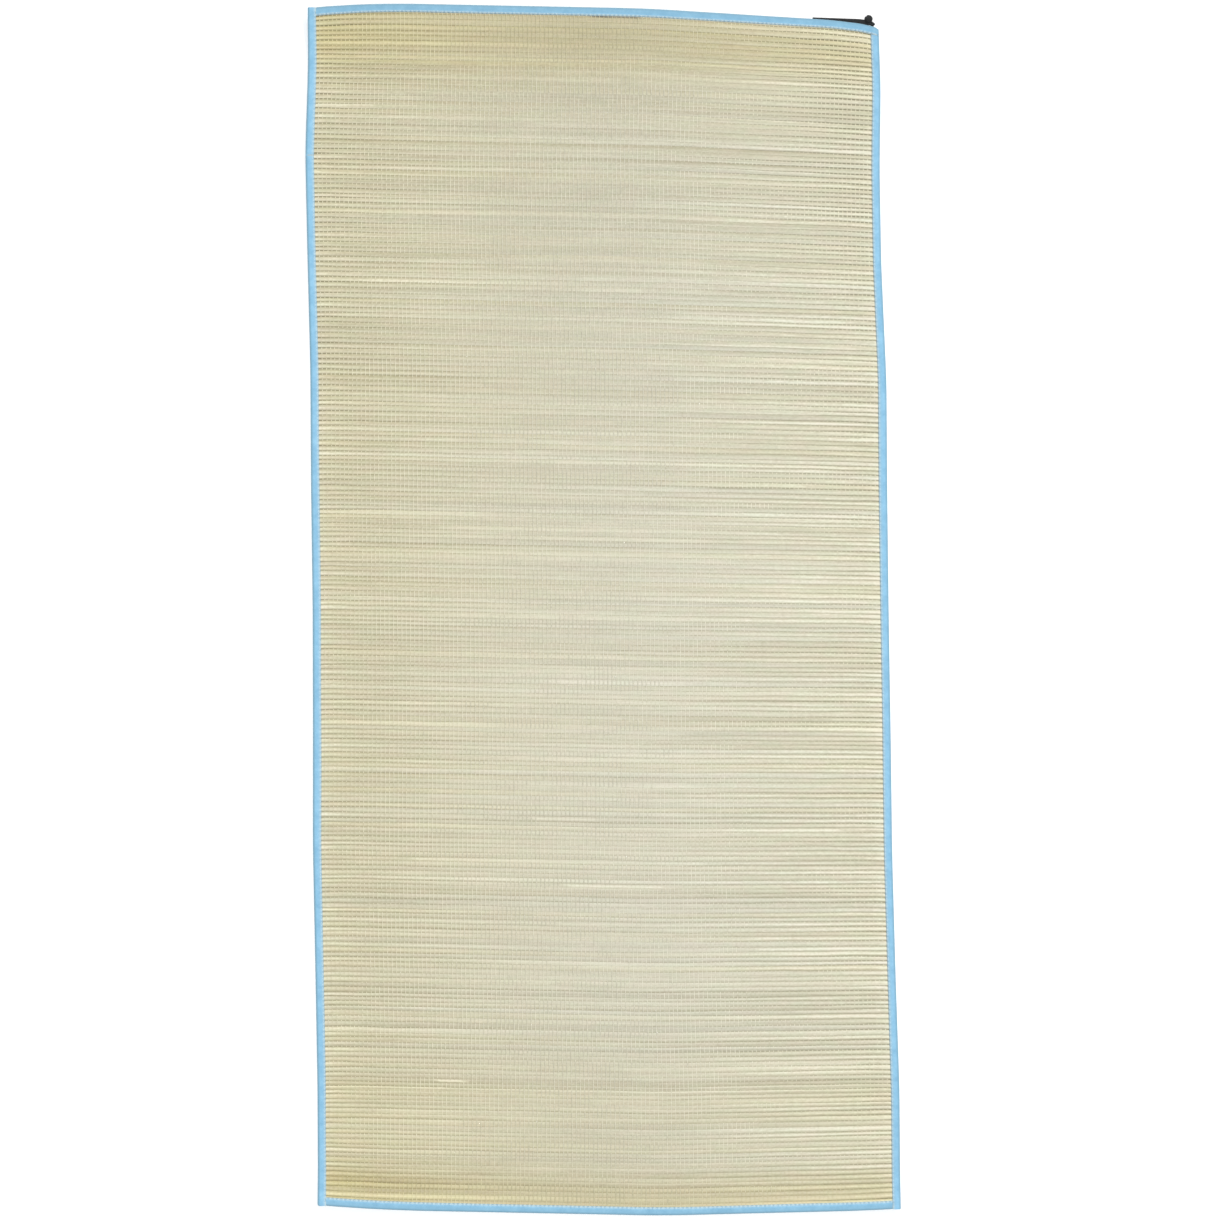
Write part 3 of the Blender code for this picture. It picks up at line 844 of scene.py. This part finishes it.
def tape(strip, material):
    """The tape's mesh, and the lines that its stitches follow."""
    count = len(strip.at)
    face = strip.face * (1 + FACE_WANDER * drift(2, count, 25))
    middle = tape_section(strip, face, PUCKER * rng.normal(0, 1, count))
    normal = unit(np.cross(np.gradient(middle, axis=1), np.gradient(middle, axis=0)))
    if normal[count // 2, 0, 2] < 0:
        normal = -normal
    thin = np.full(middle.shape[1], TAPE_THICK / 2)
    thin[0] = thin[-1] = TAPE_THICK / 4
    outer, inner = middle + normal * thin[:, None], middle - normal * thin[:, None]
    rings = np.concatenate([outer, inner[:, ::-1]], axis=1)
    spread = run_along(middle[count // 2])
    width = float(spread[-1])
    shade = tape_shade(strip, abs(spread - width / 2), width)
    values = np.empty_like(rings)
    values[..., 0] = (strip.beat / MM)[:, None]
    values[..., 1] = np.concatenate([spread, spread[::-1]]) / MM
    values[..., 2] = np.concatenate([shade, shade[::-1]]) - strip.joint_line()[:, None]
    if strip.inward < 0:
        rings, values = rings[:, ::-1], values[:, ::-1]
    made = tubes(strip.name, rings[None], material, {"tape": values[None]})
    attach(made, "root")
    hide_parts(strip.node)
    return sewing_lines(strip, face)


def tape_shade(strip, from_fold, width):
    """How deep the tape's colour is, or below nought how pale, by the distance from its fold. Deep near the
    fold is painted shade.
    """
    deep = strip.darkening + (1 - strip.darkening) * DEEP_MOST * np.clip(1.5 - from_fold / DEEP_REACH, 0, 1)
    from_edge = width / 2 - from_fold
    pale_edge = WORN_MOST * np.clip(1.1 - from_edge / WORN_REACH, 0, 1)
    pale = pale_edge + (1 - WORN_MOST) * np.clip((strip.fringe - from_edge) / MM, 0, 1)
    return deep * (1 - pale) - pale


def sewing_lines(strip, face):
    """Where the stitches run on the tape's two faces, away from the ends that lie under another tape."""
    place, z = strip.upper(face[0] - STITCH_INSET)
    above = np.column_stack([place, z + TAPE_THICK / 2 + STITCH_OVER])
    place, z = strip.lower(face[1] - STITCH_INSET)
    below = np.column_stack([place, z - TAPE_THICK / 2 + STITCH_UNDER])
    keep = np.ones(len(strip.at), bool)
    for end, near in zip(strip.ends, strip.from_ends()):
        if end < 0:
            keep &= near > strip.face
    at = strip.at[keep] - strip.at[keep][0]
    return [(above[keep], at, 1.0), (below[keep], at, -1.0)]


def stitches(name, rows, material):
    """Short threads along lines, each sunk at both ends."""
    profile = [(-1.0, 0.35, -0.25), (-0.55, 1.0, 0.0), (0.55, 1.0, 0.0), (1.0, 0.35, -0.25)]
    threads = []
    for line, at, up in rows:
        starts = np.arange(STITCH_PITCH, at[-1] - STITCH_PITCH / 2, STITCH_PITCH)
        starts = starts + STITCH_WANDER * rng.normal(0, 1, len(starts))
        centre = np.stack([np.interp(starts, at, line[:, i]) for i in range(3)], -1)
        ahead = np.stack([np.interp(starts + MM, at, line[:, i]) for i in range(3)], -1)
        ahead = unit(ahead - centre)
        aside = np.cross(ahead, (0, 0, 1.0))
        ahead = ahead + aside * rng.normal(0, STITCH_SKEW, (len(starts), 1))
        rise = np.array([0, 0, up])
        rings = np.empty((len(starts), len(profile), STITCH_SIDES, 3))
        for number, (reach, swell, sink) in enumerate(profile):
            middle = centre + ahead * reach * STITCH_LENGTH / 2 + rise * sink * MM
            for side in range(STITCH_SIDES):
                angle = 2 * math.pi * side / STITCH_SIDES
                round_it = math.cos(angle) * aside + math.sin(angle) * np.array([0, 0, 0.7])
                rings[:, number, side] = middle + STITCH_RADIUS * swell * round_it
        threads.append(rings)
    made = tubes(name, np.concatenate(threads), material)
    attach(made, "root")


def softened(line):
    """A side's line with its corners rounded off, by the mean of 15 points."""
    window = np.ones(15) / 15
    line[:, 0] = np.convolve(np.pad(line[:, 0], 7, mode="reflect", reflect_type="odd"), window, "valid")
    return line


def four_tapes():
    """The long tapes lap the short ones, but for the back right corner."""
    ribs = [f"straw_ribs_{number}" for number in range(1, RIB_PIECES + 1)]
    long = (LONG_FACE, LONG_FRINGE, LONG_DARKENING)
    front = (FRONT_FACE, FRONT_FRINGE, FRONT_DARKENING)
    back = (BACK_FACE, BACK_FRINGE, BACK_DARKENING)
    soft = (SOFT_CORNER, SOFT_CORNER)
    left_corners, back_corners = (FRONT_LEFT_CORNER, SOFT_CORNER), (SOFT_CORNER, BACK_RIGHT_CORNER)
    return [
        Tape("binding_left", "left_binding", ribs, *long, -1, (1, 1), left_corners, JOINT),
        Tape("binding_right", "right_binding", ribs, *long, 1, (1, -1), soft),
        Tape("binding_front", "front_binding", ribs[:1], *front, 1, (-1, -1), soft),
        Tape("binding_back", "back_binding", ribs[-1:], *back, -1, (-1, 1), back_corners, loose=LOOSE),
    ]


def outer_edges():
    """The panel's left, right, front and back edges, moved out to the tapes' outer edges."""
    left, right = LINES[:, 0, :2].copy(), LINES[:, -1, :2].copy()
    left[:, 0] -= PANEL_INSET
    right[:, 0] += PANEL_INSET
    share = np.linspace(0, 1, 200)
    front, back = (np.column_stack(line_at(LINES[end], share)[:2]) for end in (0, -1))
    front[:, 1] -= PANEL_INSET
    back[:, 1] += PANEL_INSET
    return softened(left), softened(right), front, back


def all_tapes(rings):
    """The four tapes with their stitches."""
    blue = tape_material()
    crossings = [rings[:, column, TOP_STRAW, 1] for column in (1, -2)]
    crossings += [at_warps(rings[:, :, TOP_STRAW])[end, :, 0] for end in (0, -1)]
    rows = []
    for strip, line, axis, places in zip(four_tapes(), outer_edges(), (1, 1, 0, 0), crossings):
        strip.set_edge(line, axis, places)
        rows += tape(strip, blue)
    stitches("stitching", rows, stitch_material())


# ---- elastic tie

ELASTIC_WIDTH = 10 * MM
ELASTIC_THICK = 1.1 * MM
KNOT_HALF = Vector((6.2, 5.9, 4.2)) * MM
KNOT_FROM_TIP = 12.3 * MM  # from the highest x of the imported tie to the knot's middle
KNOT_FROM_BACK = 5.4 * MM
KNOT_SUNK = 0.4 * MM
KNOT_STEPS, KNOT_SIDES = 36, 48
KNOT_TURN = math.radians(35)
KNOT_FURROW = 0.28
FURROWS, FURROW_WIND = 1.5, 2.6
STRAP_TURN = math.radians(177)
STRAP_HEIGHT = 4.2 * MM  # its hidden length's
STRAP_DROP = 1.2 * MM  # as it nears the knot
STRAP_NEARS = 0.16  # share of its length over which it drops and narrows
STRAP_NARROWS = 0.30
UNDER_KNOT = Vector((1.0, -5.6, 0)) * MM  # where it passes under the knot
TAIL = Vector((7.0, -0.6, 0)) * MM  # how it goes on past the knot
TAIL_BEND = Vector((0, 3.2, 0)) * MM
TAIL_DROP = 1.6 * MM
TAIL_NARROWS = 0.10


def elastic_tie(material):
    """A flat elastic under the back edge, tied in a knot just off the corner."""
    low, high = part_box("elastic_tie")
    knot = Vector((high.x - KNOT_FROM_TIP, high.y - KNOT_FROM_BACK, low.z + KNOT_HALF.z - KNOT_SUNK))
    reach = knot.x - low.x - MM
    pieces = [strap(knot, reach, material), knotted(knot, material)]
    for piece in pieces:
        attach(piece, "root")
    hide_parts("elastic_tie")


def band(name, path, pinch, material):
    """A flat band with rounded edges along a path. pinch is the share of its full width at each point."""
    path, pinch = np.array(path, float), np.array(pinch)
    tangent = unit(np.gradient(path, axis=0))
    aside = unit(np.cross(np.array([0, 0, 1.0]), tangent))
    up = np.cross(tangent, aside)
    section = [(1, 0), (0.97, 0.6), (0.5, 1), (0, 1), (-0.5, 1), (-0.97, 0.6)]
    section += [(-u, -v) for u, v in section]
    run = run_along(path) / MM
    rings = np.empty((len(path), len(section), 3))
    values = np.empty_like(rings)
    for i, (u, v) in enumerate(section):
        swell = ELASTIC_THICK / 2 * (1 + 0.8 * (1 - pinch))
        rings[:, i] = path + aside * (u * ELASTIC_WIDTH / 2 * pinch)[:, None] + up * (v * swell)[:, None]
        across = np.full(len(path), (u + 1) * ELASTIC_WIDTH / 2 / MM)
        values[:, i] = np.stack([run, across, 0 * run], -1)
    return tubes(name, rings[None], material, {"elastic": values[None]})


def strap(knot, reach, material):
    """From its hidden, sewn end, under the knot, and down under the tape's corner."""
    away = Vector((math.cos(STRAP_TURN), math.sin(STRAP_TURN), 0))
    under = knot + UNDER_KNOT
    path, pinch = [], []
    for share in np.linspace(1, 0, 41):
        near = max(0.0, 1 - share / STRAP_NEARS)
        place = under + away * (reach * share)
        place.z = STRAP_HEIGHT - STRAP_DROP * near
        path.append(place)
        pinch.append(1 - STRAP_NARROWS * near)
    for share in np.linspace(0, 1, 9)[1:]:
        place = under + TAIL * share - TAIL_BEND * share * share
        place.z = STRAP_HEIGHT - STRAP_DROP - TAIL_DROP * share
        path.append(place)
        pinch.append(1 - STRAP_NARROWS - TAIL_NARROWS * share)
    return band("elastic_strap", path, pinch, material)


def knotted(centre, material):
    """A knot pulled tight: a round lump with the furrows between its turns winding about it."""
    place = np.cos(np.linspace(math.pi, 0, KNOT_STEPS))
    turn = np.linspace(0, 2 * math.pi, KNOT_SIDES, endpoint=False)
    radius = np.sqrt(np.maximum(1 - place**2, 0.002))[:, None]
    furrow = abs(np.sin(FURROWS * turn[None, :] + FURROW_WIND * place[:, None]))
    radius = radius * (1.04 - KNOT_FURROW * (1 - furrow) ** 2)
    along = np.broadcast_to(place[:, None], radius.shape)
    ball = np.stack([along, radius * np.cos(turn), radius * np.sin(turn)], -1)
    cos, sin = math.cos(KNOT_TURN), math.sin(KNOT_TURN)
    x, y = ball[..., 0], ball[..., 1]
    flat = np.stack([x * cos - y * sin, x * sin + y * cos], -1)
    rings = np.concatenate([flat, ball[..., 2:]], -1) * np.array(KNOT_HALF) + np.array(centre)
    rings[..., 2] = np.maximum(rings[..., 2], 0.05 * MM)
    values = np.stack([along * 8, np.broadcast_to(turn * 3.5, radius.shape), 0 * along], -1)
    return tubes("elastic_knot", rings[None], material, {"elastic": values[None]})


# ---- floor, light and camera

FLOOR_GLOW = 0.16  # keeps the sweep white in the mat's faint shadow
FLOOR_SIZE = 40
FLOOR_LOWERED = 0.2 * MM  # so that it doesn't lie in one plane with the tapes' undersides
WORLD_LIGHT = 0.42
OVERHEAD = {"place": (0.05, -0.4, 5.2), "target": (0, -0.4, 0), "size": (0.9, 0.9), "power": 138}
WINDOW = {"place": (4.5, 7.5, 6.5), "target": (0, 0, 0), "size": (3.0, 1.6), "power": 520}

VIEW_WIDTH = 1.818  # what the picture takes in at the floor
SENSOR = 36  # mm
CAMERA_HEIGHT = 4.5
CAMERA_OFF = (0.0151, -0.0015)
CAMERA_ROLL = math.radians(-0.954)


def floor():
    n = Nodes("studio_floor")
    cloud = n.noise((2.0, 2.0, 2.0), 1.0)
    colour = n.ramp(cloud, [(0.0, (0.95, 0.95, 0.95)), (1.0, (0.97, 0.97, 0.97))])
    bpy.ops.mesh.primitive_plane_add(size=FLOOR_SIZE, location=(0, 0, -FLOOR_LOWERED))
    made = bpy.context.object
    made.name = "studio_floor"
    glow = {"emission_color": (1.0, 1.0, 1.0), "emission_strength": FLOOR_GLOW}
    made.data.materials.append(n.finish(base_color=colour, roughness=0.9, **glow))


def area_light(name, place, target, size, power):
    light = bpy.data.lights.new(name, "AREA")
    light.shape = "RECTANGLE"
    light.size, light.size_y = size
    light.energy = power
    made = bpy.data.objects.new(name, light)
    made.location = place
    aim = Vector(target) - Vector(place)
    made.rotation_euler = aim.to_track_quat("-Z", "Y").to_euler()
    made.visible_camera = False
    bpy.context.scene.collection.objects.link(made)


def lighting():
    world = bpy.data.worlds.new("studio")
    world.use_nodes = True
    background = world.node_tree.nodes["Background"].inputs
    background["Color"].default_value = (1, 1, 1, 1)
    background["Strength"].default_value = WORLD_LIGHT
    bpy.context.scene.world = world
    area_light("overhead", **OVERHEAD)
    area_light("window", **WINDOW)


def camera():
    data = bpy.data.cameras.new("camera")
    data.sensor_width = SENSOR
    data.lens = SENSOR * CAMERA_HEIGHT / VIEW_WIDTH
    data.clip_start = 0.05
    made = bpy.data.objects.new("camera", data)
    made.location = (*CAMERA_OFF, CAMERA_HEIGHT)
    made.rotation_euler = (0, 0, CAMERA_ROLL)
    bpy.context.scene.collection.objects.link(made)
    bpy.context.scene.camera = made
    bpy.context.scene.view_settings.view_transform = "Standard"


camera()
floor()
lighting()
ribs = rib_rings()
straw_ribs(ribs, straw_material())
warp_threads(ribs, thread_material())
all_tapes(ribs)
elastic_tie(elastic_material())
